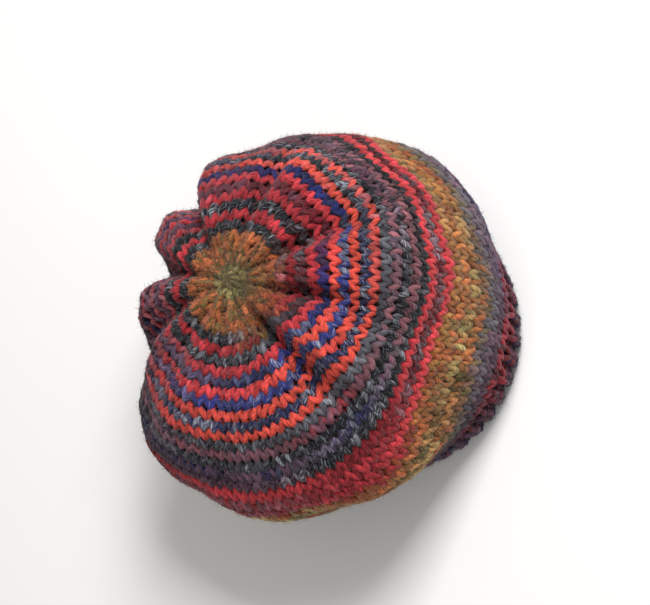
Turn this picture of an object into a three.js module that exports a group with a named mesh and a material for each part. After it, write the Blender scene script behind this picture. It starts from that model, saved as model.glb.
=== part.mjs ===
// Wool beret, hand knitted in one piece: a ribbed band, a body that widens and slouches to one side of
// it, and a crown that narrows again and is pleated into its drawn-together top. Millimetres, +Z up.
// The cast-on edge of the band lies on z = 0, the body leans towards +Y, and the origin is below the
// middle of the whole beret.

import * as THREE from 'three';

// The knitted wall
const FABRIC = 5;
const SEAM_GAP = 0.3;

// Rows of knitting, counted from the seam between the band and the body
const EDGE_ROW = -5;
const SEAM_ROW = 0;
const WIDEST_ROW = 9;
const LAST_OPEN_ROW = 30;
const APEX_ROW = 31;

// The ribbed band
const RIBS = 40;
const RIB_RELIEF = 1.2;
const RIB_ROUND = 1.6;

// Facets: how finely each surface is divided
const WALL_SIDES = 108;
const BODY_RINGS = 6;
const BODY_LINING_RINGS = 5;
const CROWN_RINGS = 15;
const CROWN_LINING_RINGS = 12;
const SIDES_PER_RIB = 4;
const BAND_RINGS = 3;

// The shape without its folds, a line for each section through it. A section is an ellipse whose middle
// is at x, y, z, half as wide as halfWidth along X and halfDepth along Y, tipped up towards +Y by tilt
// in degrees.
const SECTIONS = [
  { row: -5, halfWidth: 90, halfDepth: 86, x: 5, y: 0, z: 0, tilt: 0 },
  { row: -2.5, halfWidth: 93, halfDepth: 89, x: 5, y: 0, z: 14, tilt: 0 },
  { row: 0, halfWidth: 99, halfDepth: 91, x: 5, y: 2, z: 28, tilt: 0 },
  { row: 3, halfWidth: 120, halfDepth: 99, x: 2, y: 15, z: 48, tilt: -5 },
  { row: 6, halfWidth: 134, halfDepth: 106, x: -6, y: 29, z: 68, tilt: -10 },
  { row: 9, halfWidth: 134, halfDepth: 110, x: -9, y: 38, z: 89, tilt: -13 },
  { row: 12, halfWidth: 123, halfDepth: 111, x: -5, y: 45, z: 109, tilt: -14 },
  { row: 15, halfWidth: 109, halfDepth: 104, x: -1, y: 50, z: 125, tilt: -13 },
  { row: 18, halfWidth: 94, halfDepth: 91, x: 0, y: 56, z: 137, tilt: -11 },
  { row: 22, halfWidth: 68, halfDepth: 67, x: 1, y: 62, z: 146, tilt: -9 },
  { row: 26, halfWidth: 39, halfDepth: 38, x: 0, y: 65, z: 149, tilt: -7 },
  { row: 29, halfWidth: 16, halfDepth: 16, x: 0, y: 66, z: 148, tilt: -5 },
  { row: 31, halfWidth: 0, halfDepth: 0, x: 0, y: 66, z: 146, tilt: 0 },
];

// The folds of the crown, a line for each. A fold runs along one direction from the top, azimuth in
// degrees from +X, between two rows. It is a pleat's valley where rise is below zero, and a lobe that
// stands up between two pleats or a slack bulge of the side where rise is above zero.
const FOLDS = [
  { azimuth: -116, halfAngle: 12, rise: -14, fromRow: 10, toRow: 32 },
  { azimuth: -80, halfAngle: 10, rise: -12, fromRow: 12, toRow: 32 },
  { azimuth: -42, halfAngle: 11, rise: -11, fromRow: 13, toRow: 32 },
  { azimuth: 12, halfAngle: 12, rise: -10, fromRow: 12, toRow: 32 },
  { azimuth: 63, halfAngle: 13, rise: -17, fromRow: 6, toRow: 32 },
  { azimuth: 98, halfAngle: 12, rise: -18, fromRow: 6, toRow: 32 },
  { azimuth: 129, halfAngle: 12, rise: -14, fromRow: 7, toRow: 32 },
  { azimuth: 158, halfAngle: 12, rise: -7, fromRow: 16, toRow: 32 },
  { azimuth: -170, halfAngle: 14, rise: -6, fromRow: 14, toRow: 32 },
  { azimuth: -100, halfAngle: 20, rise: 7, fromRow: 12, toRow: 30 },
  { azimuth: 50, halfAngle: 18, rise: 6, fromRow: 8, toRow: 30 },
  { azimuth: 82, halfAngle: 24, rise: 4, fromRow: 5, toRow: 29 },
  { azimuth: 114, halfAngle: 20, rise: 2, fromRow: 5, toRow: 29 },
  { azimuth: 150, halfAngle: 26, rise: 14, fromRow: 4, toRow: 19 },
  { azimuth: 172, halfAngle: 24, rise: 7, fromRow: 8, toRow: 23 },
  { azimuth: -120, halfAngle: 30, rise: 13, fromRow: 0, toRow: 13 },
  { azimuth: -18, halfAngle: 36, rise: 5, fromRow: 0, toRow: 9 },
];

const COLUMNS = ['halfWidth', 'halfDepth', 'x', 'y', 'z', 'tilt'];

// Give how fast a column changes at one line of the section table.
function slopeAt(index, column) {
  const before = SECTIONS[Math.max(index - 1, 0)];
  const after = SECTIONS[Math.min(index + 1, SECTIONS.length - 1)];
  return (after[column] - before[column]) / (after.row - before.row);
}

// Give the section at any row, on a smooth curve through the section table.
function sectionAt(row) {
  const index = Math.max(SECTIONS.findIndex((line) => line.row >= row) - 1, 0);
  const start = SECTIONS[index];
  const end = SECTIONS[index + 1];
  const length = end.row - start.row;
  const t = (row - start.row) / length;
  const section = {};
  for (const column of COLUMNS) {
    section[column] = start[column] * (2 * t ** 3 - 3 * t ** 2 + 1)
      + end[column] * (3 * t ** 2 - 2 * t ** 3)
      + length * slopeAt(index, column) * (t ** 3 - 2 * t ** 2 + t)
      + length * slopeAt(index + 1, column) * (t ** 3 - t ** 2);
  }
  return section;
}

// Give a point of the shape without its folds.
function smoothPoint(azimuth, row) {
  const section = sectionAt(row);
  const tilt = THREE.MathUtils.degToRad(section.tilt);
  const along = section.halfDepth * Math.sin(azimuth);
  return new THREE.Vector3(
    section.x + section.halfWidth * Math.cos(azimuth),
    section.y + along * Math.cos(tilt),
    section.z + along * Math.sin(tilt),
  );
}

// Give the outward direction of the shape without its folds.
function outward(azimuth, row) {
  const step = 0.01;
  const safeRow = THREE.MathUtils.clamp(row, EDGE_ROW + step, LAST_OPEN_ROW);
  const round = smoothPoint(azimuth + step, safeRow).sub(smoothPoint(azimuth - step, safeRow));
  const up = smoothPoint(azimuth, safeRow + step).sub(smoothPoint(azimuth, safeRow - step));
  return round.cross(up).normalize();
}

// Give a soft hump that is 1 at 0 and falls to 0 at -1 and +1.
function hump(x) {
  return Math.abs(x) < 1 ? Math.cos(x * Math.PI / 2) ** 2 : 0;
}

// Give how far the folds lift the fabric at one place.
function foldRise(azimuth, row) {
  let rise = 0;
  for (const fold of FOLDS) {
    const turn = THREE.MathUtils.radToDeg(azimuth) - fold.azimuth;
    const across = (THREE.MathUtils.euclideanModulo(turn + 180, 360) - 180) / fold.halfAngle;
    const middle = (fold.fromRow + fold.toRow) / 2;
    const along = (row - middle) / (fold.toRow - middle);
    rise += fold.rise * hump(across) * hump(along);
  }
  return rise;
}

// Give a point of the knitted wall, a depth below its outer face.
function wallPoint(azimuth, row, depth) {
  const lift = foldRise(azimuth, row) - depth;
  return smoothPoint(azimuth, row).addScaledVector(outward(azimuth, row), lift);
}

// Give one closed ring of points of the wall.
function wallRing(sides, row, depthAt) {
  const ring = [];
  for (let side = 0; side < sides; side += 1) {
    const azimuth = 2 * Math.PI * side / sides;
    ring.push(wallPoint(azimuth, row, depthAt(azimuth)));
  }
  return ring;
}

// Bring one ring of points to one height.
function flattenEdge(ring, height) {
  ring.forEach((point) => point.setZ(height));
}

// Give count + 1 rows evenly spread from one row to another.
function rowsBetween(first, last, count) {
  return Array.from({ length: count + 1 }, (_, index) => first + (last - first) * index / count);
}

// Make a closed surface through rings of points, the first and last of which may be single points.
function skinOver(rings, closesOnItself) {
  const positions = [];
  const starts = [];
  for (const ring of rings) {
    starts.push(positions.length / 3);
    ring.forEach((point) => positions.push(point.x, point.y, point.z));
  }
  const faces = [];
  const pairs = closesOnItself ? rings.length : rings.length - 1;
  for (let lower = 0; lower < pairs; lower += 1) {
    const upper = (lower + 1) % rings.length;
    const sides = Math.max(rings[lower].length, rings[upper].length);
    for (let side = 0; side < sides; side += 1) {
      const next = (side + 1) % sides;
      const a = starts[lower] + side % rings[lower].length;
      const b = starts[lower] + next % rings[lower].length;
      const c = starts[upper] + next % rings[upper].length;
      const d = starts[upper] + side % rings[upper].length;
      if (a !== b) faces.push(a, b, c);
      if (c !== d) faces.push(a, c, d);
    }
  }
  const geometry = new THREE.BufferGeometry();
  geometry.setAttribute('position', new THREE.Float32BufferAttribute(positions, 3));
  geometry.setIndex(faces);
  geometry.computeVertexNormals();
  return geometry;
}

// Make a mesh of the knitted wall.
function knittedMesh(name, geometry, color) {
  const material = new THREE.MeshStandardMaterial({ color, roughness: 0.95, metalness: 0 });
  const mesh = new THREE.Mesh(geometry, material);
  mesh.name = name;
  return mesh;
}

// Make the body: the widening rounds from the seam to the widest one, open at the bottom and the top.
function makeBody() {
  const outer = rowsBetween(SEAM_ROW, WIDEST_ROW, BODY_RINGS);
  const inner = rowsBetween(WIDEST_ROW, SEAM_ROW, BODY_LINING_RINGS);
  const rings = [
    ...inner.map((row) => wallRing(WALL_SIDES, row, () => FABRIC)),
    ...outer.map((row) => wallRing(WALL_SIDES, row, () => 0)),
  ];
  flattenEdge(rings[inner.length - 1], sectionAt(SEAM_ROW).z);
  flattenEdge(rings[inner.length], sectionAt(SEAM_ROW).z);
  const body = knittedMesh('body', skinOver(rings, true), 0x8a5a3c);
  body.position.z = SEAM_GAP;
  return body;
}

// Make the crown: the narrowing rounds from the widest one to the drawn-together top.
function makeCrown() {
  const outer = rowsBetween(WIDEST_ROW, LAST_OPEN_ROW, CROWN_RINGS);
  const inner = rowsBetween(LAST_OPEN_ROW, WIDEST_ROW, CROWN_LINING_RINGS);
  const top = smoothPoint(0, APEX_ROW);
  const underTop = top.clone().setZ(top.z - FABRIC);
  const rings = [
    [underTop],
    ...inner.map((row) => wallRing(WALL_SIDES, row, () => FABRIC)),
    ...outer.map((row) => wallRing(WALL_SIDES, row, () => 0)),
    [top],
  ];
  const crown = knittedMesh('crown', skinOver(rings, false), 0x9c3b38);
  crown.position.z = 2 * SEAM_GAP;
  return crown;
}

// Give how deep the band's face lies at an azimuth: little on a rib, more in the groove beside it.
function ribDepth(azimuth) {
  const wave = RIB_ROUND * Math.cos(RIBS * azimuth);
  return RIB_RELIEF * (1 - THREE.MathUtils.clamp(wave, -1, 1)) / 2;
}

// Make the band: the ribbed fabric round the head opening, open at the top and the bottom.
function makeBand() {
  const outer = rowsBetween(EDGE_ROW, SEAM_ROW, BAND_RINGS);
  const inner = rowsBetween(SEAM_ROW, EDGE_ROW, BAND_RINGS);
  const sides = RIBS * SIDES_PER_RIB;
  const rings = [
    ...inner.map((row) => wallRing(sides, row, (azimuth) => FABRIC + ribDepth(azimuth))),
    ...outer.map((row) => wallRing(sides, row, ribDepth)),
  ];
  flattenEdge(rings[inner.length - 1], 0);
  flattenEdge(rings[inner.length], 0);
  const seamHeight = sectionAt(SEAM_ROW).z;
  flattenEdge(rings[0], seamHeight);
  flattenEdge(rings[rings.length - 1], seamHeight);
  return knittedMesh('band', skinOver(rings, true), 0x4a2f3f);
}

const beret = new THREE.Group();
beret.add(makeBand(), makeBody(), makeCrown());

// Set the whole beret over the origin by the middle of its box.
const middle = new THREE.Box3().setFromObject(beret).getCenter(new THREE.Vector3());
beret.position.set(-middle.x, -middle.y, 0);

export default beret;
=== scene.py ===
"""Wool beret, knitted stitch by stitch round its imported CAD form.

The beret is hand knitted in one piece from two strands of colour-changing wool held together: a
ribbed band, 30 rows of stockinette that slouch to one side, and a top that is drawn together in
pleats. Here the yarn itself is laid along every row, as real yarn runs, over the same form that the
CAD solids have. Lengths are millimetres while a piece is worked out, and metres in its mesh.
"""

import logging
import math
from collections.abc import Sequence
from dataclasses import astuple, dataclass, field
from enum import Enum

import bpy
import numpy as np
from mathutils import Matrix, Vector


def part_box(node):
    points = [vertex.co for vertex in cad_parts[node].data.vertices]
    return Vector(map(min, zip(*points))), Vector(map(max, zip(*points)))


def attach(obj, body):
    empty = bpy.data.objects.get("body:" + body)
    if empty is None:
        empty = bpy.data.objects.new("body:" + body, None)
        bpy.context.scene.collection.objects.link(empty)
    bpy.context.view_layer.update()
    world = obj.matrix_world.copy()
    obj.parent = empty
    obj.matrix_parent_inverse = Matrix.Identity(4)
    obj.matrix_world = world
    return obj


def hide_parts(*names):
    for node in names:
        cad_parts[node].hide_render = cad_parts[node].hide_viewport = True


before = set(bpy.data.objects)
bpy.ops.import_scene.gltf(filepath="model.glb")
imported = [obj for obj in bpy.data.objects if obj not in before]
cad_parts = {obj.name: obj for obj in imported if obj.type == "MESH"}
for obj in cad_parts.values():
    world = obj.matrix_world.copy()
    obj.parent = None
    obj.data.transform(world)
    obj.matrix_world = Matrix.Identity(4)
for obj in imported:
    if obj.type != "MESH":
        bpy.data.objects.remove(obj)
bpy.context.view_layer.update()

logging.basicConfig(level=logging.INFO, format="%(message)s")
log = logging.getLogger("beret")

MM = 0.001
FULL_TURN = 2 * math.pi


# The form that the knitting follows


@dataclass(frozen=True)
class Section:
    """One ellipse through the beret, in millimetres.

    Its middle is at x, y, z, it is half_width wide along X and half_depth deep along Y to each side
    of that, and it is tipped up towards +Y by tilt degrees. Rows count up from the band's seam.
    """

    row: float
    half_width: float
    half_depth: float
    x: float
    y: float
    z: float
    tilt: float


@dataclass(frozen=True)
class Fold:
    """One fold of the crown: a pleat's valley where rise is below zero, else a lobe or a bulge.

    It runs along azimuth, in degrees from +X, between two rows.
    """

    azimuth: float
    half_angle: float
    rise: float
    from_row: float
    to_row: float


SECTIONS = (
    Section(-5, 90, 86, 5, 0, 0, 0),
    Section(-2.5, 93, 89, 5, 0, 14, 0),
    Section(0, 99, 91, 5, 2, 28, 0),
    Section(3, 120, 99, 2, 15, 48, -5),
    Section(6, 134, 106, -6, 29, 68, -10),
    Section(9, 134, 110, -9, 38, 89, -13),
    Section(12, 123, 111, -5, 45, 109, -14),
    Section(15, 109, 104, -1, 50, 125, -13),
    Section(18, 94, 91, 0, 56, 137, -11),
    Section(22, 68, 67, 1, 62, 146, -9),
    Section(26, 39, 38, 0, 65, 149, -7),
    Section(29, 16, 16, 0, 66, 148, -5),
    Section(31, 0, 0, 0, 66, 146, 0),
)

FOLDS = (
    Fold(-116, 12, -14, 10, 32),
    Fold(-80, 10, -12, 12, 32),
    Fold(-42, 11, -11, 13, 32),
    Fold(12, 12, -10, 12, 32),
    Fold(63, 13, -17, 6, 32),
    Fold(98, 12, -18, 6, 32),
    Fold(129, 12, -14, 7, 32),
    Fold(158, 12, -7, 16, 32),
    Fold(-170, 14, -6, 14, 32),
    Fold(-100, 20, 7, 12, 30),
    Fold(50, 18, 6, 8, 30),
    Fold(82, 24, 4, 5, 29),
    Fold(114, 20, 2, 5, 29),
    Fold(150, 26, 14, 4, 19),
    Fold(172, 24, 7, 8, 23),
    Fold(-120, 30, 13, 0, 13),
    Fold(-18, 36, 5, 0, 9),
)


@dataclass(frozen=True)
class Bend:
    """One place where the rows of knitting lie higher on the form, or lower where lift is below zero.

    Lift counts in rows. The place lies along azimuth, in degrees from +X, between two rows.
    """

    azimuth: float
    half_angle: float
    lift: float
    from_row: float
    to_row: float


BENDS = (
    Bend(-105, 45, -0.8, -1, 17),
    Bend(-62, 24, -1.1, 1, 17),
    Bend(-14, 26, 1.7, -1, 18),
    Bend(-113, 14, 1.3, 14, 30),
    Bend(-92, 14, -0.5, 16, 27),
    Bend(-40, 14, -0.6, 12, 27),
    Bend(4, 20, -0.4, 12, 26),
)


@dataclass(frozen=True)
class Waver:
    """One run of the small unevenness of hand knitting: two waves that cross.

    Together they are up to height millimetres high. Each has its own number of waves round the
    beret, its own turn from row to row, and its own start, both in radians.
    """

    height: float
    turns: tuple[float, float]
    rises: tuple[float, float]
    starts: tuple[float, float]


WAVERS = (
    Waver(1.3, (7, 3), (0.31, 0.47), (0, 1)),
    Waver(0.7, (17, -5), (-0.55, 0.83), (2, 0)),
)


@dataclass
class BeretForm:
    """The outer face of the knitted wall, by azimuth round the beret and by row of knitting.

    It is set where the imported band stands, whose lowest and highest corners band_box gives, in metres.
    """

    band_box: tuple
    sections: Sequence[Section] = SECTIONS
    folds: Sequence[Fold] = FOLDS
    wavers: Sequence[Waver] = WAVERS
    # The rows above the seam over which the unevenness sets in
    waver_rows: float = 3.0
    first_row: float = -5.0
    last_open_row: float = 30.0
    table_step: float = 0.25
    table_sides: int = 1440

    def __post_init__(self) -> None:
        """Lay smooth curves through the sections, and measure the rounds."""
        table = np.array([astuple(section) for section in self.sections], float)
        self.rows, self.columns = table[:, 0], table[:, 1:]
        self.slopes = np.gradient(self.columns, axis=0) / np.gradient(self.rows)[:, None]
        seam = next(section for section in self.sections if section.row == 0)
        low, high = self.band_box
        self.shift = np.array([
            (low[0] + high[0]) / 2 / MM - seam.x,
            high[1] / MM - seam.y - seam.half_depth,
            0.0,
        ])
        self.table_rows = np.arange(self.first_row, self.rows[-1], self.table_step)
        self.table = self._measure_rounds()

    def sections_at(self, row: np.ndarray) -> np.ndarray:
        """Give the sections at some rows, on a smooth curve through the table.

        Args:
            row: The rows.

        Returns:
            The six sizes of each section, along the last axis.
        """
        index = np.clip(np.searchsorted(self.rows, row, side="left") - 1, 0, len(self.rows) - 2)
        length = (self.rows[index + 1] - self.rows[index])[..., None]
        t = (row - self.rows[index])[..., None] / length
        return (
            self.columns[index] * (2 * t**3 - 3 * t**2 + 1)
            + self.columns[index + 1] * (3 * t**2 - 2 * t**3)
            + length * self.slopes[index] * (t**3 - 2 * t**2 + t)
            + length * self.slopes[index + 1] * (t**3 - t**2)
        )

    def smooth_point(self, azimuth: np.ndarray, row: np.ndarray) -> np.ndarray:
        """Give points of the form without its folds.

        Args:
            azimuth: The directions round the beret, in radians.
            row: The rows, as many.

        Returns:
            The points, in millimetres.
        """
        half_width, half_depth, x, y, z, tilt = np.moveaxis(self.sections_at(row), -1, 0)
        along = half_depth * np.sin(azimuth)
        tilt = np.radians(tilt)
        across = x + half_width * np.cos(azimuth)
        return np.stack([across, y + along * np.cos(tilt), z + along * np.sin(tilt)], -1) + self.shift

    def outward(self, azimuth: np.ndarray, row: np.ndarray) -> np.ndarray:
        """Give the outward directions of the form without its folds.

        Args:
            azimuth: The directions round the beret, in radians.
            row: The rows, as many.

        Returns:
            The outward directions, at length 1.
        """
        step = 0.01
        row = np.clip(row, self.first_row + step, self.last_open_row)
        round_way = self.smooth_point(azimuth + step, row) - self.smooth_point(azimuth - step, row)
        up_way = self.smooth_point(azimuth, row + step) - self.smooth_point(azimuth, row - step)
        return unit(np.cross(round_way, up_way))

    def fold_rise(self, azimuth: np.ndarray, row: np.ndarray) -> np.ndarray:
        """Give how far the folds lift the fabric.

        Args:
            azimuth: The directions round the beret, in radians.
            row: The rows, as many.

        Returns:
            The lifts, in millimetres, which are below zero in the pleats.
        """
        rise = np.zeros(np.shape(azimuth))
        for fold in self.folds:
            across = turned_from(azimuth, fold.azimuth) / fold.half_angle
            rise += fold.rise * hump(across) * hump(along_rows(row, fold.from_row, fold.to_row))
        return rise

    def waver(self, azimuth: np.ndarray, row: np.ndarray) -> np.ndarray:
        """Give the small unevenness of hand knitting, which sets in above the seam.

        Args:
            azimuth: The directions round the beret, in radians.
            row: The rows, as many.

        Returns:
            The lifts, in millimetres.
        """
        lift = np.zeros(np.shape(azimuth))
        for waver in self.wavers:
            first, second = (
                np.sin(turns * azimuth + rise * row + start)
                for turns, rise, start in zip(waver.turns, waver.rises, waver.starts)
            )
            lift += waver.height * first * second
        return lift * np.clip(row / self.waver_rows, 0, 1)

    def face_point(self, azimuth: np.ndarray, row: np.ndarray) -> np.ndarray:
        """Give points on the outer face of the knitted wall, folds and all, in millimetres."""
        lift = (self.fold_rise(azimuth, row) + self.waver(azimuth, row))[..., None]
        return self.smooth_point(azimuth, row) + self.outward(azimuth, row) * lift

    def face_normal(self, azimuth: np.ndarray, row: np.ndarray) -> np.ndarray:
        """Give the outward directions of the folded face.

        Args:
            azimuth: The directions round the beret, in radians.
            row: The rows, as many.

        Returns:
            The outward directions, at length 1.
        """
        turn, rise = 0.01, 0.05
        row = np.clip(row, self.first_row + rise, self.last_open_row)
        round_way = self.face_point(azimuth + turn, row) - self.face_point(azimuth - turn, row)
        up_way = self.face_point(azimuth, row + rise) - self.face_point(azimuth, row - rise)
        return unit(np.cross(round_way, up_way))

    def _measure_rounds(self) -> np.ndarray:
        """Measure at which azimuths the evenly spread shares of each round of knitting lie.

        The folds count by half, as the fabric stretches a little down into them.

        Returns:
            A line for each of the table's rows, with an azimuth in radians for each share.
        """
        azimuth = np.linspace(0, FULL_TURN, self.table_sides + 1)
        shares = np.linspace(0, 1, self.table_sides + 1)
        table = []
        for row in self.table_rows:
            level = np.full_like(azimuth, row)
            half_lift = self.fold_rise(azimuth, level)[:, None] / 2
            points = self.smooth_point(azimuth, level) + self.outward(azimuth, level) * half_lift
            steps = np.linalg.norm(np.diff(points, axis=0), axis=1)
            travelled = np.concatenate([[0], np.cumsum(steps)]) / steps.sum()
            table.append(np.interp(shares, travelled, azimuth))
        return np.array(table)

    def azimuth_at(self, share: np.ndarray, row: np.ndarray) -> np.ndarray:
        """Give the azimuths of places given by their share of the way round the knitting.

        Args:
            share: 0 at the start of the round, 1 a whole round on.
            row: The rows, as many.

        Returns:
            The azimuths, in radians.
        """
        # Just short of the table's last line, so that there is always a line above
        top_line = len(self.table_rows) - 1.001
        turns = np.floor(share)
        side = (share - turns) * self.table_sides
        line = np.clip((row - self.first_row) / self.table_step, 0, top_line)
        i, j = line.astype(int), np.minimum(side.astype(int), self.table_sides - 1)
        u, v = line - i, side - j
        lower = self.table[i, j] * (1 - v) + self.table[i, j + 1] * v
        upper = self.table[i + 1, j] * (1 - v) + self.table[i + 1, j + 1] * v
        return lower * (1 - u) + upper * u + FULL_TURN * turns


def unit(vectors: np.ndarray) -> np.ndarray:
    """Give the vectors at length 1."""
    shortest = 1e-12
    return vectors / np.maximum(np.linalg.norm(vectors, axis=-1, keepdims=True), shortest)


def eased(t: np.ndarray) -> np.ndarray:
    """Give a soft start and a soft end to values that run from 0 to 1."""
    return t * t * (3 - 2 * t)


def hump(x: np.ndarray) -> np.ndarray:
    """Give a soft hump that is 1 at 0 and falls to 0 at -1 and +1."""
    return np.where(np.abs(x) < 1, np.cos(np.clip(x, -1, 1) * math.pi / 2) ** 2, 0.0)


def plateau(x: np.ndarray) -> np.ndarray:
    """Give a soft hump that stays 1 round 0 and falls to 0 at -1 and +1."""
    slope = 0.6
    return eased(np.clip((1 - np.abs(x)) / slope, 0, 1))


def along_rows(row: np.ndarray, from_row: float, to_row: float) -> np.ndarray:
    """Give where some rows lie between two others, from -1 at the first to +1 at the last."""
    middle = (from_row + to_row) / 2
    return (row - middle) / (to_row - middle)


def turned_from(azimuth: np.ndarray, degrees: float) -> np.ndarray:
    """Give how far some directions, in radians, lie past one in degrees: from -180 to 180."""
    return (np.degrees(azimuth) - degrees + 180) % 360 - 180


def drift(places: np.ndarray, around: int, rng: np.random.Generator) -> np.ndarray:
    """Give smooth random values between -1 and 1 along a closed round.

    Args:
        places: Where, from 0 to around.
        around: How many random values stand round the whole round.
        rng: The source of chance.

    Returns:
        A value for each place.
    """
    values = rng.uniform(-1, 1, around)
    start = np.floor(places).astype(int)
    blend = eased(places - start)
    return values[start % around] * (1 - blend) + values[(start + 1) % around] * blend


# The colours of the yarn


class Shade(Enum):
    """The colours that the two strands run through, as sRGB."""

    BLACK = "1a191e"
    CHARCOAL = "2d2c32"
    SLATE = "55525a"
    SILVER = "989aa3"
    NAVY = "1f2142"
    BLUE = "272c68"
    SKY = "6d7292"
    MAUVE = "664a58"
    PLUM = "3e2535"
    DUSTY = "84525a"
    WINE = "5c161d"
    BRICK = "8e282f"
    SCARLET = "b8383f"
    FLAME = "c4483a"
    RUST = "8a4728"
    ORANGE = "b4643c"
    TAN = "ab7b4f"
    OCHRE = "99703c"
    STRAW = "a19460"
    OLIVE = "6c5a36"
    MOSS = "4d4b2a"

    @property
    def linear(self) -> np.ndarray:
        """The colour in linear light."""
        values = np.array([int(self.value[i:i + 2], 16) for i in (0, 2, 4)]) / 255
        return np.where(values <= 0.04045, values / 12.92, ((values + 0.055) / 1.055) ** 2.4)


# The share of the second strand where both show alike, and where it shows as streaks in the first
EVEN_SHARE = 0.5
STREAK_SHARE = 0.18


def strands(words: str) -> np.ndarray:
    """Give the two strands' colours from their names.

    Args:
        words: One shade; or two joined by a plus sign where both strands show alike; or two joined
            by a stroke where the second shows as streaks in the first.

    Returns:
        Two colours in linear light, each followed by the share of the second strand.
    """
    names = words.upper().replace("/", "+").split("+")
    share = STREAK_SHARE if "/" in words else EVEN_SHARE
    return np.array([[*Shade[name].linear, share] for name in (names[0], names[-1])])


def by_leg(values: np.ndarray, steps: np.ndarray) -> np.ndarray:
    """Spread one value for each leg of the stitches over the places along a row.

    Args:
        values: The values, two for each stitch.
        steps: The places, in stitches from the start of the row.

    Returns:
        The value at each place, changing over quickly where one leg turns into the next.
    """
    quickness = 2.5
    place = 2 * steps - 0.5
    start = np.floor(place).astype(int)
    blend = np.clip((place - start - 0.5) * quickness + 0.5, 0, 1)
    return values[start % len(values)] * (1 - blend) + values[(start + 1) % len(values)] * blend


@dataclass(frozen=True)
class Stripe:
    """The shades that one row of knitting has on five sides of the beret."""

    row: int
    left: str
    corner: str
    front: str
    right: str
    back: str


STRIPES = (
    Stripe(-4, "navy+plum", "navy/mauve", "navy/mauve", "navy+plum", "plum"),
    Stripe(-3, "plum+wine", "plum+mauve", "plum+mauve", "plum+navy", "mauve+plum"),
    Stripe(-2, "wine+navy", "wine+navy", "plum+brick", "plum+navy", "wine"),
    Stripe(-1, "navy+plum", "navy+plum", "brick+navy", "navy+plum", "navy+plum"),
    Stripe(0, "wine+plum", "wine+navy", "brick+wine", "navy+plum", "wine+plum"),
    Stripe(1, "mauve+plum", "plum+wine", "brick+plum", "navy+mauve", "mauve+navy"),
    Stripe(2, "dusty+mauve", "plum+charcoal", "mauve+plum", "blue+mauve", "mauve+dusty"),
    Stripe(3, "charcoal+olive", "slate+moss", "slate+mauve", "mauve+navy", "slate+mauve"),
    Stripe(4, "charcoal+olive", "orange+moss", "slate+olive", "slate+mauve", "slate+olive"),
    Stripe(5, "olive+rust", "straw+rust", "orange+moss", "olive+slate", "olive+tan"),
    Stripe(6, "olive+rust", "tan+moss", "straw+rust", "rust+olive", "tan+ochre"),
    Stripe(7, "olive+straw", "orange+olive", "orange+olive", "ochre+rust", "tan+ochre"),
    Stripe(8, "straw+rust", "rust+brick", "ochre+rust", "tan+olive", "rust+tan"),
    Stripe(9, "brick+dusty", "scarlet+brick", "scarlet/flame", "scarlet/brick", "wine+dusty"),
    Stripe(10, "brick+dusty", "brick/scarlet", "wine/silver", "wine+black", "wine+plum"),
    Stripe(11, "scarlet/brick", "brick+wine", "scarlet/brick", "scarlet/flame", "wine+brick"),
    Stripe(12, "plum+mauve", "black/silver", "black/silver", "black/dusty", "plum+black"),
    Stripe(13, "mauve+navy", "navy/silver", "dusty+black", "dusty+charcoal", "plum+navy"),
    Stripe(14, "charcoal/silver", "black/silver", "black/silver", "black+mauve", "black+plum"),
    Stripe(15, "dusty+mauve", "mauve+brick", "dusty+slate", "dusty+plum", "wine+mauve"),
    Stripe(16, "charcoal/silver", "slate/silver", "slate+charcoal", "black/silver", "plum+charcoal"),
    Stripe(17, "flame/scarlet", "flame/scarlet", "flame/brick", "dusty+flame", "brick+dusty"),
    Stripe(18, "navy/silver", "navy/silver", "navy/silver", "charcoal/silver", "navy+plum"),
    Stripe(19, "flame/scarlet", "flame/scarlet", "flame/scarlet", "flame/dusty", "brick+dusty"),
    Stripe(20, "blue/sky", "blue/silver", "blue/silver", "blue+navy", "plum+mauve"),
    Stripe(21, "scarlet/flame", "flame/scarlet", "flame/scarlet", "scarlet+brick", "brick+dusty"),
    Stripe(22, "navy/sky", "blue/silver", "blue+navy", "wine/mauve", "mauve+plum"),
    Stripe(23, "scarlet+brick", "scarlet/brick", "scarlet+brick", "brick/scarlet", "brick+dusty"),
    Stripe(24, "charcoal/silver", "charcoal+slate", "wine+charcoal", "black/silver", "black/silver"),
    Stripe(25, "scarlet+brick", "wine+olive", "wine+brick", "scarlet+brick", "scarlet+brick"),
    Stripe(26, "black/silver", "rust+moss", "rust+brick", "black/silver", "black/silver"),
    Stripe(27, "orange+moss", "rust+olive", "rust+moss", "orange+moss", "orange+moss"),
    Stripe(28, "orange+olive", "orange+moss", "olive+rust", "orange+moss", "orange+moss"),
    Stripe(29, "olive+orange", "olive+moss", "olive+rust", "olive+orange", "olive+orange"),
    Stripe(30, "straw+moss", "straw+moss", "olive+moss", "straw+moss", "straw+olive"),
)


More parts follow.
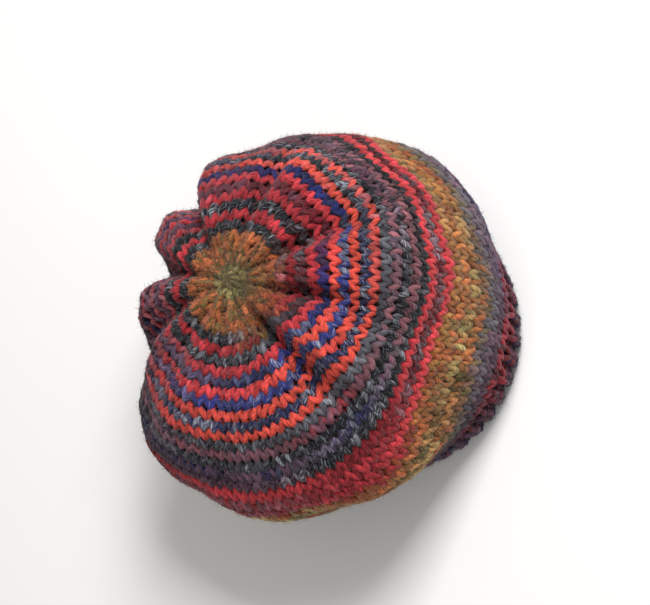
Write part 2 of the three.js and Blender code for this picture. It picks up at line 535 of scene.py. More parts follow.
@dataclass(frozen=True)
class StripePlan:
    """The colours of both strands anywhere on the beret."""

    stripes: Sequence[Stripe] = STRIPES
    # Where the middle of each side lies, in degrees from +X, in rising order
    left_at: float = -155
    corner_at: float = -120
    front_at: float = -78
    right_at: float = -25
    back_at: float = 125
    # How many degrees the sides' colours sway along a row, and in how many swings round the beret
    sway: float = 9
    sway_swings: int = 9
    # The darkest and the lightest tone of a leg, and how much the tone swings along a row
    leg_tones: tuple[float, float] = (0.66, 1.24)
    tone_swing: float = 0.18
    tone_swings: int = 40
    # How far the second strand's share strays from an even one by leg, and along a row
    leg_stray: float = 0.45
    row_stray: float = 0.16
    row_strays: int = 50
    # Where it shows as streaks, most legs have about streak_fall less of it than STREAK_SHARE, and a
    # few have up to streak_rise more than those
    streak_rise: float = 0.42
    streak_fall: float = 0.12

    def colours(
        self, row: int, azimuth: np.ndarray, steps: np.ndarray, rng: np.random.Generator
    ) -> np.ndarray:
        """Give the strands' colours along one row.

        Args:
            row: The row.
            azimuth: The directions of the places along it, in radians.
            steps: The same places, in stitches from the start of the row.
            rng: The source of chance.

        Returns:
            For each place, what strands gives.
        """

        def swing(swings: int) -> np.ndarray:
            """Give smooth random values that swing so many times round the beret."""
            return drift(azimuth / FULL_TURN % 1 * swings, swings, rng)

        colour = self._side_colours(row, np.degrees(azimuth) + self.sway * swing(self.sway_swings))
        legs = 2 * (int(steps[-1]) + 1)
        tone = by_leg(rng.uniform(*self.leg_tones, legs), steps)
        tone = tone * (1 + self.tone_swing * swing(self.tone_swings))
        colour[..., :3] *= tone[:, None, None]
        even = by_leg(rng.uniform(-self.leg_stray, self.leg_stray, legs), steps)
        even = even + self.row_stray * swing(self.row_strays)
        streak = by_leg(self.streak_rise * rng.uniform(0, 1, legs) ** 3 - self.streak_fall, steps)
        is_streak = np.clip((EVEN_SHARE - colour[..., 3]) / (EVEN_SHARE - STREAK_SHARE), 0, 1)
        colour[..., 3] += even[:, None] * (1 - is_streak) + streak[:, None] * is_streak
        return colour

    def _side_colours(self, row: int, degrees: np.ndarray) -> np.ndarray:
        """Blend the stripe's shades from side to side along one row.

        Args:
            row: The row.
            degrees: The directions of the places along it, in degrees.

        Returns:
            For each place, what strands gives.
        """
        stripe = next(stripe for stripe in self.stripes if stripe.row == row)
        names = ("left", "corner", "front", "right", "back")
        sides = np.array([strands(getattr(stripe, name)) for name in names])
        places = np.array([getattr(self, f"{name}_at") for name in names] + [self.left_at + 360])
        degrees = (degrees - places[0]) % 360 + places[0]
        index = np.clip(np.searchsorted(places, degrees, side="right") - 1, 0, len(names) - 1)
        t = (degrees - places[index]) / (places[index + 1] - places[index])
        t = eased(t)[:, None, None]
        return sides[index] * (1 - t) + sides[(index + 1) % len(names)] * t


# The finishes


class Bench:
    """A new material, and short ways to put nodes into it."""

    def __init__(self, name: str, finish: dict[str, object]) -> None:
        """Start a material.

        Args:
            name: Its name.
            finish: The values of its shader's sockets, by their names.
        """
        self.material = bpy.data.materials.new(name)
        self.material.use_nodes = True
        self.tree = self.material.node_tree
        self.shader = self.tree.nodes["Principled BSDF"]
        for socket, value in finish.items():
            self.shader.inputs[socket].default_value = value

    def node(self, kind: str) -> bpy.types.Node:
        """Add a node of some kind."""
        return self.tree.nodes.new(kind)

    def lead(self, source: object, socket: bpy.types.NodeSocket) -> None:
        """Lead something into a socket.

        Args:
            source: Another socket, or a value to set.
            socket: The socket that takes it.
        """
        if isinstance(source, bpy.types.NodeSocket):
            self.tree.links.new(source, socket)
        else:
            socket.default_value = source

    def maths(self, operation: str, first: object, second: object = 0.0) -> bpy.types.NodeSocket:
        """Add a Math node.

        Args:
            operation: What it works out.
            first: A value or a socket.
            second: Another one.

        Returns:
            The socket that its result comes out of.
        """
        node = self.node("ShaderNodeMath")
        node.operation = operation
        self.lead(first, node.inputs[0])
        self.lead(second, node.inputs[1])
        return node.outputs[0]

    def attribute(self, name: str) -> bpy.types.Node:
        """Add a node that reads a colour attribute of the mesh.

        Args:
            name: The attribute's name.

        Returns:
            The node.
        """
        node = self.node("ShaderNodeAttribute")
        node.attribute_name = name
        return node


@dataclass(frozen=True)
class Streaks:
    """Noise that is drawn out along the yarn's fibres.

    Around says how fine it is round the yarn, and along how fine along it, in changes per millimetre.
    """

    around: float
    along: float
    layers: float
    roughness: float = 0.6

    def noise(
        self,
        bench: Bench,
        sides: tuple[bpy.types.NodeSocket, bpy.types.NodeSocket],
        along: bpy.types.NodeSocket,
    ) -> bpy.types.NodeSocket:
        """Add the noise to a material.

        Args:
            bench: The material.
            sides: The sine and the cosine of the way round the yarn, which leave it without a seam.
            along: The length along the yarn, in millimetres.

        Returns:
            The noise, about 0.5.
        """
        at = bench.node("ShaderNodeCombineXYZ")
        for side, socket in zip(sides, at.inputs):
            bench.lead(bench.maths("MULTIPLY", side, self.around), socket)
        bench.lead(bench.maths("MULTIPLY", along, self.along), at.inputs[2])
        noise = bench.node("ShaderNodeTexNoise")
        noise.inputs["Scale"].default_value = 1
        noise.inputs["Detail"].default_value = self.layers
        noise.inputs["Roughness"].default_value = self.roughness
        bench.lead(at.outputs[0], noise.inputs["Vector"])
        return noise.outputs["Fac"]


@dataclass(frozen=True)
class WoolYarn:
    """Soft two-strand wool: its colours come with the mesh, its twist and fibres from nodes."""

    name: str
    roughness: float = 0.9
    sheen: float = 0.16
    sheen_roughness: float = 0.4
    specular: float = 0.15
    # The yarn's length in which its two strands turn once round each other, in millimetres
    strand_turn: float = 16.0
    blend_streaks: Streaks = Streaks(2.0, 0.17, 3)
    tone_streaks: Streaks = Streaks(1.7, 0.15, 2)
    fibre_streaks: Streaks = Streaks(4.5, 0.2, 4)
    # How much of the noise that parts the strands is of single fibres
    fibre_share: float = 0.25
    # That noise shows the second strand above second_height less second_fall times the strand's
    # share, and the colours blend over second_soft to each side of that
    second_height: float = 0.67
    second_fall: float = 0.34
    second_soft: float = 0.14
    # How strongly the noises of tones and of fibres lighten and darken the yarn
    tone_contrast: float = 1.4
    fibre_contrast: float = 1.2
    # Painted shade and highlight: the tone falls by half of this from the yarn's two faces, painted
    # lighter, to its sides, painted darker as if in the shadow deep between its neighbours
    painted_side_shade: float = 1.0
    # How far a place faces in or out, from 0 to 1, where the painted shade leaves its tone as it is
    plain_facing: float = 0.55
    # The least that is left of a colour in the darkest streaks and painted shade
    darkest: float = 0.2
    # How deep the grooves between the fibres are, in millimetres
    groove: float = 0.45

    def material(self) -> bpy.types.Material:
        """Make the material.

        Returns:
            The material.
        """
        bench = Bench(self.name, {
            "Roughness": self.roughness,
            "Sheen Weight": self.sheen,
            "Sheen Roughness": self.sheen_roughness,
            "Specular IOR Level": self.specular,
        })
        place = bench.node("ShaderNodeUVMap")
        place.uv_map = "along_yarn"
        split = bench.node("ShaderNodeSeparateXYZ")
        bench.lead(place.outputs["UV"], split.inputs[0])
        along, around = split.outputs["X"], split.outputs["Y"]
        turned = bench.maths("ADD", around, bench.maths("DIVIDE", along, self.strand_turn))
        angle = bench.maths("MULTIPLY", turned, FULL_TURN)
        sides = bench.maths("SINE", angle), bench.maths("COSINE", angle)
        blend, tones, fibres = (
            streaks.noise(bench, sides, along)
            for streaks in (self.blend_streaks, self.tone_streaks, self.fibre_streaks)
        )

        coarse = bench.maths("MULTIPLY", bench.maths("SUBTRACT", tones, 0.5), 2 * self.tone_contrast)
        fine = bench.maths("MULTIPLY", bench.maths("SUBTRACT", fibres, 0.5), 2 * self.fibre_contrast)
        # Painted shade and highlight: darker at the yarn's sides and lighter on its two faces
        facing = bench.maths("ABSOLUTE", bench.maths("SINE", bench.maths("MULTIPLY", around, FULL_TURN)))
        beyond_plain = bench.maths("SUBTRACT", facing, self.plain_facing)
        painted_shade = bench.maths("MULTIPLY", beyond_plain, self.painted_side_shade / 2)
        light = bench.maths("ADD", bench.maths("ADD", coarse, fine), painted_shade)
        tone = bench.node("ShaderNodeVectorMath")
        tone.operation = "SCALE"
        bench.lead(self._strand_colour(bench, blend, fibres), tone.inputs[0])
        scale = bench.maths("MAXIMUM", bench.maths("ADD", light, 1.0), self.darkest)
        bench.lead(scale, tone.inputs["Scale"])
        bench.lead(tone.outputs[0], bench.shader.inputs["Base Color"])

        bump = bench.node("ShaderNodeBump")
        bump.inputs["Strength"].default_value = 1
        bump.inputs["Distance"].default_value = self.groove * MM
        bench.lead(fibres, bump.inputs["Height"])
        bench.lead(bump.outputs[0], bench.shader.inputs["Normal"])
        return bench.material

    def _strand_colour(
        self, bench: Bench, blend: bpy.types.NodeSocket, fibres: bpy.types.NodeSocket
    ) -> bpy.types.NodeSocket:
        """Add the choice between the two strands' colours.

        Args:
            bench: The material.
            blend: The noise that parts the strands.
            fibres: The noise of single fibres, which roughens the line between them.

        Returns:
            The colour.
        """
        coarse = bench.maths("MULTIPLY", blend, 1 - self.fibre_share)
        fine = bench.maths("MULTIPLY", fibres, self.fibre_share)
        first, second = bench.attribute("strand_a"), bench.attribute("strand_b")
        fall = bench.maths("MULTIPLY", first.outputs["Alpha"], self.second_fall)
        height = bench.maths("SUBTRACT", self.second_height, fall)
        which = bench.node("ShaderNodeMapRange")
        which.interpolation_type = "SMOOTHSTEP"
        bench.lead(bench.maths("SUBTRACT", height, self.second_soft), which.inputs["From Min"])
        bench.lead(bench.maths("ADD", height, self.second_soft), which.inputs["From Max"])
        bench.lead(bench.maths("ADD", coarse, fine), which.inputs["Value"])
        strand = bench.node("ShaderNodeMix")
        strand.data_type = "RGBA"
        bench.lead(which.outputs[0], strand.inputs["Factor"])
        bench.lead(first.outputs["Color"], strand.inputs[6])
        bench.lead(second.outputs["Color"], strand.inputs[7])
        return strand.outputs[2]


@dataclass(frozen=True)
class LooseFibre:
    """The fine hairs that stand off the wool, in its own colours."""

    name: str
    roughness: float = 0.8
    sheen: float = 0.2
    specular: float = 0.15

    def material(self) -> bpy.types.Material:
        """Make the material.

        Returns:
            The material.
        """
        bench = Bench(self.name, {
            "Roughness": self.roughness,
            "Sheen Weight": self.sheen,
            "Specular IOR Level": self.specular,
        })
        bench.lead(bench.attribute("strand_a").outputs["Color"], bench.shader.inputs["Base Color"])
        return bench.material


@dataclass(frozen=True)
class PaleFloor:
    """The plain matt floor."""

    colour: tuple[float, float, float, float] = (0.92, 0.915, 0.905, 1)
    roughness: float = 0.9

    def material(self) -> bpy.types.Material:
        """Make the material."""
        return Bench("pale_floor", {"Base Color": self.colour, "Roughness": self.roughness}).material


# The yarn and its meshes


@dataclass
class YarnRun:
    """A closed length of yarn: its middle line, how it lies, how thick it is and its colours.

    Showing says how far each place is up on the fabric's face, from 0 to 1.
    """

    middle: np.ndarray
    outward: np.ndarray
    half_wide: np.ndarray
    half_thick: np.ndarray
    colours: np.ndarray
    showing: np.ndarray

    def along(self) -> np.ndarray:
        """Give the directions in which the yarn runs."""
        return unit(np.roll(self.middle, -1, 0) - np.roll(self.middle, 1, 0))

    def sides_at(self, sides: int) -> tuple[np.ndarray, np.ndarray]:
        """Give the rings of points round the yarn, and the length of yarn up to each ring.

        Args:
            sides: How many points each ring has.

        Returns:
            The points, one ring for each place along the yarn, and the lengths, in millimetres.
        """
        along = self.along()
        across = unit(np.cross(along, self.outward))
        out = np.cross(across, along)
        turn = (np.arange(sides) * FULL_TURN / sides)[None, :, None]
        rings = (
            self.middle[:, None]
            + across[:, None] * np.cos(turn) * self.half_wide[:, None, None]
            + out[:, None] * np.sin(turn) * self.half_thick[:, None, None]
        )
        steps = np.linalg.norm(np.roll(self.middle, -1, 0) - self.middle, axis=1)
        return rings, np.concatenate([[0], np.cumsum(steps)])


class YarnMesh:
    """Gathers lengths of yarn into one mesh."""

    def __init__(self, sides: int = 7) -> None:
        """Start an empty mesh.

        Args:
            sides: How many sides its yarns have.
        """
        self.sides = sides
        self.points: list[np.ndarray] = []
        self.faces: list[np.ndarray] = []
        self.places: list[np.ndarray] = []
        self.colours: list[np.ndarray] = []
        self.count = 0

    def add(self, run: YarnRun) -> None:
        """Skin one closed length of yarn and add it.

        Args:
            run: The yarn.
        """
        rings, lengths = run.sides_at(self.sides)
        n, sides = rings.shape[:2]
        i, j = np.meshgrid(np.arange(n), np.arange(sides), indexing="ij")
        here, onward, next_j = i * sides, (i + 1) % n * sides, (j + 1) % sides
        corners = np.stack([here + j, onward + j, onward + next_j, here + next_j], -1)
        self.faces.append(corners.reshape(-1, 4) + self.count)
        around = np.stack([j, j, j + 1, j + 1], -1) / sides
        along = lengths[np.stack([i, i + 1, i + 1, i], -1)]
        self.places.append(np.stack([along, around], -1).reshape(-1, 2))
        self.points.append(rings.reshape(-1, 3))
        self.colours.append(np.repeat(run.colours, sides, axis=0))
        self.count += n * sides

    def object(self, name: str, material: bpy.types.Material) -> bpy.types.Object:
        """Make the Blender object.

        Args:
            name: The piece's name.
            material: Its finish.

        Returns:
            The object.
        """
        piece = mesh_object(name, np.concatenate(self.points), np.concatenate(self.faces), material)
        layer = piece.data.uv_layers.new(name="along_yarn")
        layer.data.foreach_set("uv", np.concatenate(self.places).astype(np.float32).ravel())
        paint(piece.data, np.concatenate(self.colours))
        return piece


def mesh_object(
    name: str, points: np.ndarray, faces: np.ndarray, material: bpy.types.Material
) -> bpy.types.Object:
    """Make a smooth mesh object from faces that all have the same number of corners.

    Args:
        name: Its name.
        points: Its points, in millimetres.
        faces: The corners of each face.
        material: Its finish.

    Returns:
        The object, linked into the scene.
    """
    mesh = bpy.data.meshes.new(name)
    corners = faces.shape[1]
    mesh.vertices.add(len(points))
    mesh.vertices.foreach_set("co", (points * MM).astype(np.float32).ravel())
    mesh.loops.add(faces.size)
    mesh.loops.foreach_set("vertex_index", faces.astype(np.int32).ravel())
    mesh.polygons.add(len(faces))
    mesh.polygons.foreach_set("loop_start", np.arange(0, faces.size, corners, dtype=np.int32))
    mesh.polygons.foreach_set("loop_total", np.full(len(faces), corners, dtype=np.int32))
    mesh.polygons.foreach_set("use_smooth", np.ones(len(faces), dtype=bool))
    mesh.update(calc_edges=True)
    mesh.materials.append(material)
    piece = bpy.data.objects.new(name, mesh)
    bpy.context.scene.collection.objects.link(piece)
    return piece


def paint(mesh: bpy.types.Mesh, colours: np.ndarray) -> None:
    """Store the two strands' colours on a mesh.

    Args:
        mesh: The mesh.
        colours: For each of its points, what strands gives, with the yarn's painted dip shade in it.
    """
    for index, name in enumerate(("strand_a", "strand_b")):
        layer = mesh.color_attributes.new(name=name, type="FLOAT_COLOR", domain="POINT")
        layer.data.foreach_set("color", np.clip(colours[:, index], 0, 1).astype(np.float32).ravel())


def stand_in(piece: bpy.types.Object, node: str) -> None:
    """Put a piece in the place of a CAD solid, and report it.

    Args:
        piece: The piece.
        node: The solid that it stands for.
    """
    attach(piece, "root")
    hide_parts(node)
    mesh = piece.data
    log.info("%s: %d triangles", piece.name, len(mesh.loops) - 2 * len(mesh.polygons))


@dataclass(frozen=True)
class Stitch:
    """The way that the yarn takes through one stitch of stockinette, seen from its face.

    Widths are in stitches, heights in rows and depths in millimetres.
    """

    # How far the yarn swings back and forth across, which leans the legs and rounds the loops
    lean: float = 0.31
    half_height: float = 0.82
    half_depth: float = 1.75
    # How much more of the yarn lies on the fabric's face than on its back, and how sharply it turns
    # from one to the other
    face_share: float = 0.35
    sharpness: float = 1.8
    samples: int = 13
    yarn_half_wide: float = 1.9
    yarn_half_thick: float = 1.7
    # How much plumper the yarn is in the middle of a leg, and thinner where it dips behind
    swell: float = 0.14
    # How much darker the yarn's colour is painted where it dips behind, as painted shade between the
    # stitches
    painted_dip_shade: float = 0.5

    def way(self, t: np.ndarray) -> tuple[np.ndarray, np.ndarray, np.ndarray]:
        """Give how far the yarn lies across, up and out, from foot to foot of the stitch.

        Args:
            t: The share of the stitch that is passed, from 0 to 1.

        Returns:
            Across in stitches, up in rows, and out in millimetres.
        """
        across = t + self.lean * np.sin(2 * FULL_TURN * t)
        up = -self.half_height * np.cos(FULL_TURN * t)
        out = self.half_depth * np.tanh(self.sharpness * (self.face_share - np.cos(2 * FULL_TURN * t)))
        return across, up, out

    def dip(self, t: np.ndarray) -> np.ndarray:
        """Give how far the yarn has gone behind the fabric's face, from 0 to 1."""
        return (1 + np.cos(2 * FULL_TURN * t)) / 2


@dataclass
class Knitter:
    """Lays the yarn of one row after another over the form."""

    form: BeretForm
    plan: StripePlan
    bends: Sequence[Bend] = BENDS
    stitch: Stitch = field(default_factory=Stitch)
    wedges: int = 8
    # The stitches in each wedge, from row 0 to row 31
    counts: tuple[int, ...] = (
        10, 11, 12, 12, 12, 12, 12, 12, 12, 12, 12, 12, 12, 12, 12, 11,
        11, 10, 10, 9, 8, 8, 7, 7, 6, 6, 5, 5, 4, 4, 3, 3,
    )
    # How much wider a rib's knit column is than an even share, and its purl column narrower
    rib_spread: float = 0.5
    # How uneven the hand is: in the stitches' height as a share, in rows up, in stitches across and
    # in millimetres out
    uneven_height: float = 0.08
    uneven_up: float = 0.07
    uneven_across: float = 0.07
    uneven_out: float = 0.3
    # How much the yarn's own thickness swings, and how often in a stitch
    slub: float = 0.1
    slubs_a_stitch: float = 1.5
    # The thinnest and the fullest that the yarn is drawn, as shares of its plain thickness
    thinnest: float = 0.86
    fullest: float = 1.5
    # The room that a stitch takes where the yarn is at its plain thickness, in square millimetres
    plain_area: float = 49.0
    # How far the lowest yarn stays off the floor, in millimetres
    floor_room: float = 0.3
    # How many rows past its last open one the form is followed
    past_last_row: float = 0.9
    seed: int = 1931
    seed_step: int = 101

    def row(self, row: int, rib: float = 0.0) -> YarnRun:
        """Lay one round of knitting.

        Args:
            row: The row, counted from the seam. The columns of stitches run on from row to row
                round the middle of each wedge.
            rib: How far knit columns stand over purl ones, in millimetres, or 0 for plain knitting.

        Returns:
            The yarn of that row.
        """
        rng = np.random.default_rng(self.seed + self.seed_step * row)
        stitch, per_wedge = self.stitch, self.counts[max(row, 0)]
        total = per_wedge * self.wedges
        steps = np.arange(total * stitch.samples) / stitch.samples
        index = np.floor(steps).astype(int)

        def chance() -> np.ndarray:
            """Give the next smooth random values, which swing once a stitch."""
            return drift(steps, total, rng)

        across, up, out = stitch.way(steps - index)
        if rib:
            out = np.where(index % 2 == 1, -out, out) + rib / 2 * np.sin(math.pi * (index + across))
            across = across - self.rib_spread / math.pi * np.cos(math.pi * steps)
        up = up * (1 + self.uneven_height * chance()) + self.uneven_up * chance()
        across = across + self.uneven_across * chance()
        height = row + up
        column = index % per_wedge + across - per_wedge / 2
        now = np.interp(height, np.arange(len(self.counts)), self.counts)
        share = (index // per_wedge + 0.5 + column / now) / self.wedges
        height = height + self._bend(self.form.azimuth_at(share, height), row)
        azimuth = self.form.azimuth_at(share, height)
        normal = self.form.face_normal(azimuth, height)
        out = out - (stitch.half_depth + stitch.yarn_half_thick) + self.uneven_out * chance()
        reached = np.minimum(height, self.form.last_open_row + self.past_last_row)
        middle = self.form.face_point(azimuth, reached) + normal * out[:, None]
        middle[:, 2] = np.maximum(middle[:, 2], stitch.yarn_half_wide + self.floor_room)

        slub = 1 + self.slub * drift(steps * self.slubs_a_stitch, int(total * self.slubs_a_stitch), rng)
        dip = stitch.dip(steps - index)
        size = self._fullness(row, total) * slub * (1 + stitch.swell * (1 - 2 * dip))
        colours = self.plan.colours(row, azimuth, steps, rng)
        # Painted shade: the yarn's colours darken where it dips behind the fabric's face, between the
        # stitches
        colours[..., :3] *= (1 - stitch.painted_dip_shade * dip)[:, None, None]
        half_wide, half_thick = stitch.yarn_half_wide * size, stitch.yarn_half_thick * size
        return YarnRun(middle, normal, half_wide, half_thick, colours, 1 - dip)

    def _bend(self, azimuth: np.ndarray, row: float) -> np.ndarray:
        """Give how much higher than elsewhere a row lies.

        Args:
            azimuth: The directions round the beret, in radians.
            row: The row.

        Returns:
            The lift for each direction, in rows.
        """
        lift = np.zeros_like(azimuth)
        for bend in self.bends:
            across = turned_from(azimuth, bend.azimuth) / bend.half_angle
            lift += bend.lift * hump(across) * plateau(along_rows(row, bend.from_row, bend.to_row))
        return lift

    def _fullness(self, row: int, total: int) -> np.ndarray:
        """Give how full the yarn is along a row: fuller where its stitches are stretched.

        Args:
            row: The row.
            total: How many stitches it has.

        Returns:
            A share of the yarn's plain thickness for each place along the row.
        """
        places = total * self.stitch.samples
        azimuth = self.form.azimuth_at(np.arange(places) / places, np.full(places, float(row)))
        low, here, high = (
            self.form.face_point(azimuth, level + self._bend(azimuth, level))
            for level in (row - 0.5, row, row + 0.5)
        )
        wide = np.linalg.norm(np.roll(here, -1, 0) - np.roll(here, 1, 0), axis=1) * self.stitch.samples / 2
        tall = np.linalg.norm(high - low, axis=1)
        return np.clip(np.sqrt(wide * tall / self.plain_area), self.thinnest, self.fullest)


# The loose fibre


@dataclass(frozen=True)
class Hairs:
    """One kind of the hairs that stand off the yarn: bent ones, or short straight ones."""

    shortest: float
    longest: float
    root_radius: float
    bent: bool


# The corners of a hair's faces, counted along its rings of three points and then its tip
BENT_FACES = (
    (0, 2, 1), (0, 1, 4), (0, 4, 3), (1, 2, 5), (1, 5, 4),
    (2, 0, 3), (2, 3, 5), (3, 4, 6), (4, 5, 6), (5, 3, 6),
)
STRAIGHT_FACES = ((0, 2, 1), (0, 1, 3), (1, 2, 3), (2, 0, 3))


@dataclass
class Fuzz:
    """The hairs that stand off the yarn all over."""

    finish: bpy.types.Material
    long_hairs: Hairs = Hairs(2.2, 7.0, 0.085, True)
    short_hairs: Hairs = Hairs(1.2, 3.6, 0.09, False)
    # How far round the yarn from straight out a hair may be rooted, in radians, and how far out from
    # the yarn's middle, as a share of its half thickness
    most_lean: float = 1.0
    root_share: float = 0.8
    # The shares of its full length that a hair may have, how strongly it points outward, and how
    # strongly it strays by chance
    length_shares: tuple[float, float] = (0.5, 1.0)
    outward_pull: tuple[float, float] = (0.5, 1.5)
    stray: float = 0.6
    # Where a bent hair bends, as a share of its length, how sharply, and how thin it is there
    bend_at: float = 0.55
    bend_pull: float = 0.9
    bend_radius: float = 0.75
    # How much brighter than its yarn a hair is, and the most white that it has in it
    brightness: float = 1.25
    whiteness: float = 0.16
    # How far the hairs stay off the floor, in millimetres
    floor_room: float = 0.1
    seed: int = 77

    def build(self, name: str, node: str, runs: Sequence[YarnRun], long: int, short: int) -> None:
        """Grow the hairs on some lengths of yarn, as one piece.

        Args:
            name: The piece's name.
            node: The CAD solid that the yarns stand for.
            runs: The yarns.
            long: How many long bent hairs.
            short: How many short straight ones.
        """
        rng = np.random.default_rng(self.seed)
        points, faces, colours = [], [], []
        done = 0
        for hairs, count in ((self.long_hairs, long), (self.short_hairs, short)):
            grown, corners, tints = self._grow(hairs, runs, count, rng)
            points.append(grown)
            faces.append(corners + done)
            colours.append(tints)
            done += len(grown)
        points = np.concatenate(points)
        points[:, 2] = np.maximum(points[:, 2], self.floor_room)
        piece = mesh_object(name, points, np.concatenate(faces), self.finish)
        paint(piece.data, np.concatenate(colours))
        stand_in(piece, node)

    def _grow(
        self, hairs: Hairs, runs: Sequence[YarnRun], count: int, rng: np.random.Generator
    ) -> tuple[np.ndarray, np.ndarray, np.ndarray]:
        """Shape some hairs of one kind.

        Args:
            hairs: The kind.
            runs: The yarns that they grow on.
            count: How many.
            rng: The source of chance.

        Returns:
            Their points in millimetres, the corners of their faces, and the points' colours.
        """

        def by_hair(low: float, high: float) -> np.ndarray:
            """Give a random value for each hair."""
            return rng.uniform(low, high, count)[:, None]

        showing = np.concatenate([run.showing for run in runs]) ** 2
        pick = rng.choice(len(showing), count, p=showing / showing.sum())
        middle = np.concatenate([run.middle for run in runs])[pick]
        outward = np.concatenate([run.outward for run in runs])[pick]
        along = np.concatenate([run.along() for run in runs])[pick]
        thick = np.concatenate([run.half_thick for run in runs])[pick]
        colours = np.concatenate([run.colours for run in runs])[pick]
        across = unit(np.cross(along, outward))
        lean = by_hair(-self.most_lean, self.most_lean)
        out = outward * np.cos(lean) + across * np.sin(lean)
        root = middle + out * thick[:, None] * self.root_share
        length = by_hair(hairs.shortest, hairs.longest) * by_hair(*self.length_shares)
        way = unit(out * by_hair(*self.outward_pull) + rng.normal(0, self.stray, (count, 3)))
        bend = unit(along * rng.choice([-1, 1], count)[:, None] + rng.normal(0, self.stray, (count, 3)))
        side = unit(np.cross(way, bend))
        other = unit(np.cross(way, side))
        thirds = (0, FULL_TURN / 3, FULL_TURN * 2 / 3)
        corners = [side * math.cos(turn) + other * math.sin(turn) for turn in thirds]
        rings = [root + corner * hairs.root_radius for corner in corners]
        tip = root + way * length
        if hairs.bent:
            halfway = root + way * length * self.bend_at
            rings += [halfway + corner * hairs.root_radius * self.bend_radius for corner in corners]
            tip = halfway + unit(way + bend * self.bend_pull) * length * (1 - self.bend_at)
        points = np.stack([*rings, tip], 1)
        each = points.shape[1]
        pattern = np.array(BENT_FACES if hairs.bent else STRAIGHT_FACES)
        faces = (pattern[None] + each * np.arange(count)[:, None, None]).reshape(-1, 3)
        white = by_hair(0, self.whiteness)[..., None]
        return points.reshape(-1, 3), faces, np.repeat(colours * self.brightness + white, each, axis=0)


# The sub-assemblies


@dataclass
class Fabric:
    """Some rows of the beret, knitted as one or more pieces that stand for one CAD solid."""

    knitter: Knitter
    yarn: bpy.types.Material
    runs: list[YarnRun] = field(default_factory=list)

    def knit(self, name: str, rows: range, node: str, rib: float = 0.0) -> None:
        """Knit some rows as one piece.

        Args:
            name: The piece's name.
            rows: Its rows, counted from the seam.
            node: The CAD solid that it stands for.
            rib: How far knit columns stand over purl ones, in millimetres, or 0 for plain knitting.
        """
        self.lay(name, [self.knitter.row(row, rib) for row in rows], node)

    def lay(self, name: str, runs: Sequence[YarnRun], node: str) -> None:
        """Lay some lengths of yarn as one piece.

        Args:
            name: The piece's name.
            runs: The yarns.
            node: The CAD solid that it stands for.
        """
        mesh = YarnMesh()
        for run in runs:
            mesh.add(run)
        self.runs.extend(runs)
        stand_in(mesh.object(name, self.yarn), node)


@dataclass
class Band(Fabric):
    """The band: one by one ribbing from the cast-on edge to the seam."""

    rows: range = range(-4, 1)
    rib_relief: float = 2.6
    long_hairs: int = 2500
    short_hairs: int = 9500

    def build(self) -> None:
        """Knit the band."""
        self.knit("band_ribs", self.rows, "band", self.rib_relief)

    def dress(self, finish: bpy.types.Material) -> None:
        """Grow the loose fibre on the band."""
        Fuzz(finish).build("band_fuzz", "band", self.runs, self.long_hairs, self.short_hairs)


@dataclass
class Body(Fabric):
    """The body: plain knitting that widens from the seam to the widest round."""

    low_rows: range = range(1, 5)
    wide_rows: range = range(5, 10)
    long_hairs: int = 6000
    short_hairs: int = 22000

    def build(self) -> None:
        """Knit the body in two pieces, so that each stays light."""
        self.knit("body_low", self.low_rows, "body")
        self.knit("body_wide", self.wide_rows, "body")

    def dress(self, finish: bpy.types.Material) -> None:
        """Grow the loose fibre on the body."""
        Fuzz(finish).build("body_fuzz", "body", self.runs, self.long_hairs, self.short_hairs)


@dataclass
class Crown(Fabric):
    """The crown: plain knitting that narrows from the widest round to the drawn-together top.

    The yarn's end is drawn up there in a knot: loops that sway in and out and up and down.
    """

    shoulder_rows: range = range(10, 17)
    top_rows: range = range(17, 31)
    long_hairs: int = 9000
    short_hairs: int = 25000
    knot_row: float = 30.9
    knot_turns: int = 2
    knot_sways: int = 5
    knot_lifts: int = 7
    knot_radius: float = 2.7
    knot_sway: float = 2.5
    knot_rise: float = 1.2
    knot_lift: float = 1.2
    knot_half_yarn: float = 1.2
    knot_samples: int = 72
    # The last rows and the knot, where the top is fluffier, and its own hairs
    middle_runs: int = 6
    middle_whiteness: float = 0.05
    middle_long_hairs: int = 5500
    middle_short_hairs: int = 7500

    def build(self) -> None:
        """Knit the crown in two pieces, and draw its top together in a knot."""
        self.knit("crown_shoulder", self.shoulder_rows, "crown")
        self.knit("crown_top", self.top_rows, "crown")
        self.lay("crown_knot", [self._knot()], "crown")

    def dress(self, finish: bpy.types.Material) -> None:
        """Grow the loose fibre on the crown, and more of it on its middle.

        Args:
            finish: The loose fibre's finish.
        """
        Fuzz(finish).build("crown_fuzz", "crown", self.runs, self.long_hairs, self.short_hairs)
        middle = self.runs[-self.middle_runs:]
        fluff = Fuzz(finish, whiteness=self.middle_whiteness)
        fluff.build("crown_middle_fuzz", "crown", middle, self.middle_long_hairs, self.middle_short_hairs)

    def _knot(self) -> YarnRun:
        """Lay the drawn-up end of the yarn in small loops round the very top.

        Returns:
            The yarn.
        """
        turn = np.arange(self.knot_samples) * FULL_TURN / self.knot_samples
        top = self.knitter.form.smooth_point(np.zeros(1), np.array([self.knot_row]))[0]
        out = self.knot_radius + self.knot_sway * np.cos(self.knot_sways * turn)
        rise = self.knot_lift * np.sin(self.knot_lifts * turn) + self.knot_rise
        angle = self.knot_turns * turn
        loops = np.stack([np.cos(angle) * out, np.sin(angle) * out, rise], -1)
        upward = np.repeat([[0.0, 0.0, 1.0]], self.knot_samples, 0)
        colours = np.repeat(strands("olive+straw")[None], self.knot_samples, 0)
        half = np.full(self.knot_samples, self.knot_half_yarn)
        return YarnRun(top + loops, upward, half, half, colours, np.ones(self.knot_samples))


# The studio


@dataclass(frozen=True)
class Lamp:
    """A soft square lamp that looks at the beret, with its place and width in metres and its watts."""

    name: str
    place: tuple[float, float, float]
    width: float
    power: float


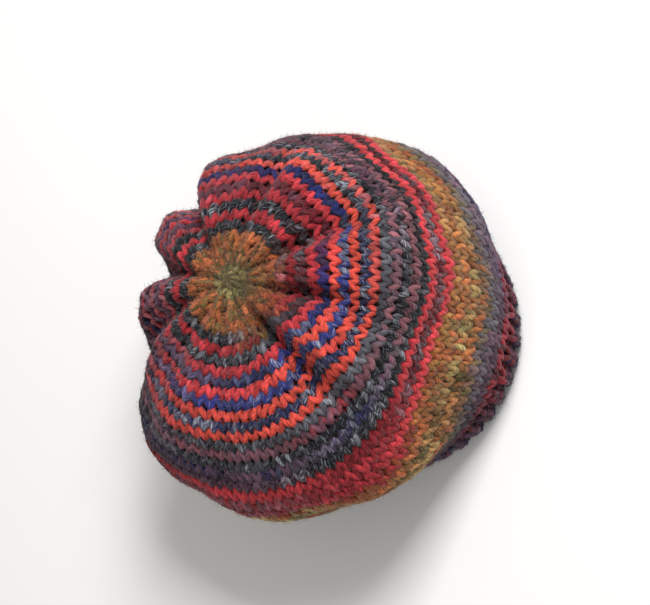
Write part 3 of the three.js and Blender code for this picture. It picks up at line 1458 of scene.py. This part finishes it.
@dataclass
class Studio:
    """The floor, the lights and the camera."""

    form: BeretForm
    # The point that the camera looks at, in millimetres from where the form's own sizes count
    aim: tuple[float, float, float] = (10.3, 31.9, 75)
    elevation: float = 63
    roll: float = 68
    distance: float = 1.5
    view_width: float = 0.442
    sensor_width: float = 36
    floor_width: float = 8
    room_colour: tuple[float, float, float, float] = (1, 0.99, 0.97, 1)
    room_light: float = 0.35
    lamps: Sequence[Lamp] = (
        Lamp("key_light", (1.1, -0.2, 1.35), 0.7, 30),
        Lamp("fill_light", (-1.2, -0.6, 1.4), 1.6, 6),
    )

    def build(self) -> None:
        """Set up the floor, the lights and the camera."""
        self._floor()
        self._lights()
        self._camera()

    def _floor(self) -> None:
        """Lay the floor under the beret."""
        bpy.ops.mesh.primitive_plane_add(size=self.floor_width)
        floor = bpy.context.object
        floor.name = "floor"
        floor.data.materials.append(PaleFloor().material())

    def _lights(self) -> None:
        """Hang soft lights over the beret."""
        world = bpy.data.worlds.new("soft_room")
        world.use_nodes = True
        world.node_tree.nodes["Background"].inputs["Color"].default_value = self.room_colour
        world.node_tree.nodes["Background"].inputs["Strength"].default_value = self.room_light
        bpy.context.scene.world = world
        for lamp in self.lamps:
            data = bpy.data.lights.new(lamp.name, "AREA")
            data.size, data.energy = lamp.width, lamp.power
            light = bpy.data.objects.new(lamp.name, data)
            light.location = lamp.place
            light.rotation_euler = (-Vector(lamp.place)).to_track_quat("-Z", "Y").to_euler()
            bpy.context.scene.collection.objects.link(light)

    def _camera(self) -> None:
        """Place the camera where the photograph was taken from."""
        tip, roll = math.radians(self.elevation), math.radians(self.roll)
        right = Vector((1, 0, 0))
        up = Vector((0, math.sin(tip), math.cos(tip)))
        back = Vector((0, -math.cos(tip), math.sin(tip)))
        turned_right = right * math.cos(roll) - up * math.sin(roll)
        turned_up = right * math.sin(roll) + up * math.cos(roll)
        aim = Vector((np.array(self.aim) + self.form.shift) * MM)
        data = bpy.data.cameras.new("camera")
        data.sensor_width = self.sensor_width
        data.lens = data.sensor_width * self.distance / self.view_width
        camera = bpy.data.objects.new("camera", data)
        camera.matrix_world = Matrix.Translation(aim + back * self.distance) @ Matrix(
            (turned_right, turned_up, back)
        ).transposed().to_4x4()
        bpy.context.scene.collection.objects.link(camera)
        bpy.context.scene.camera = camera


def main() -> None:
    """Knit the beret and set up the studio."""
    bpy.context.scene.view_settings.view_transform = "Standard"
    form = BeretForm(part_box("band"))
    knitter = Knitter(form, StripePlan())
    yarn = WoolYarn("striped_wool").material()
    loose_fibre = LooseFibre("loose_fibre").material()
    for fabric in (Band(knitter, yarn), Body(knitter, yarn), Crown(knitter, yarn)):
        fabric.build()
        fabric.dress(loose_fibre)
        log.info("%s is in place", type(fabric).__name__)
    Studio(form).build()
    log.info("sizes written")


if __name__ == "__main__":
    main()
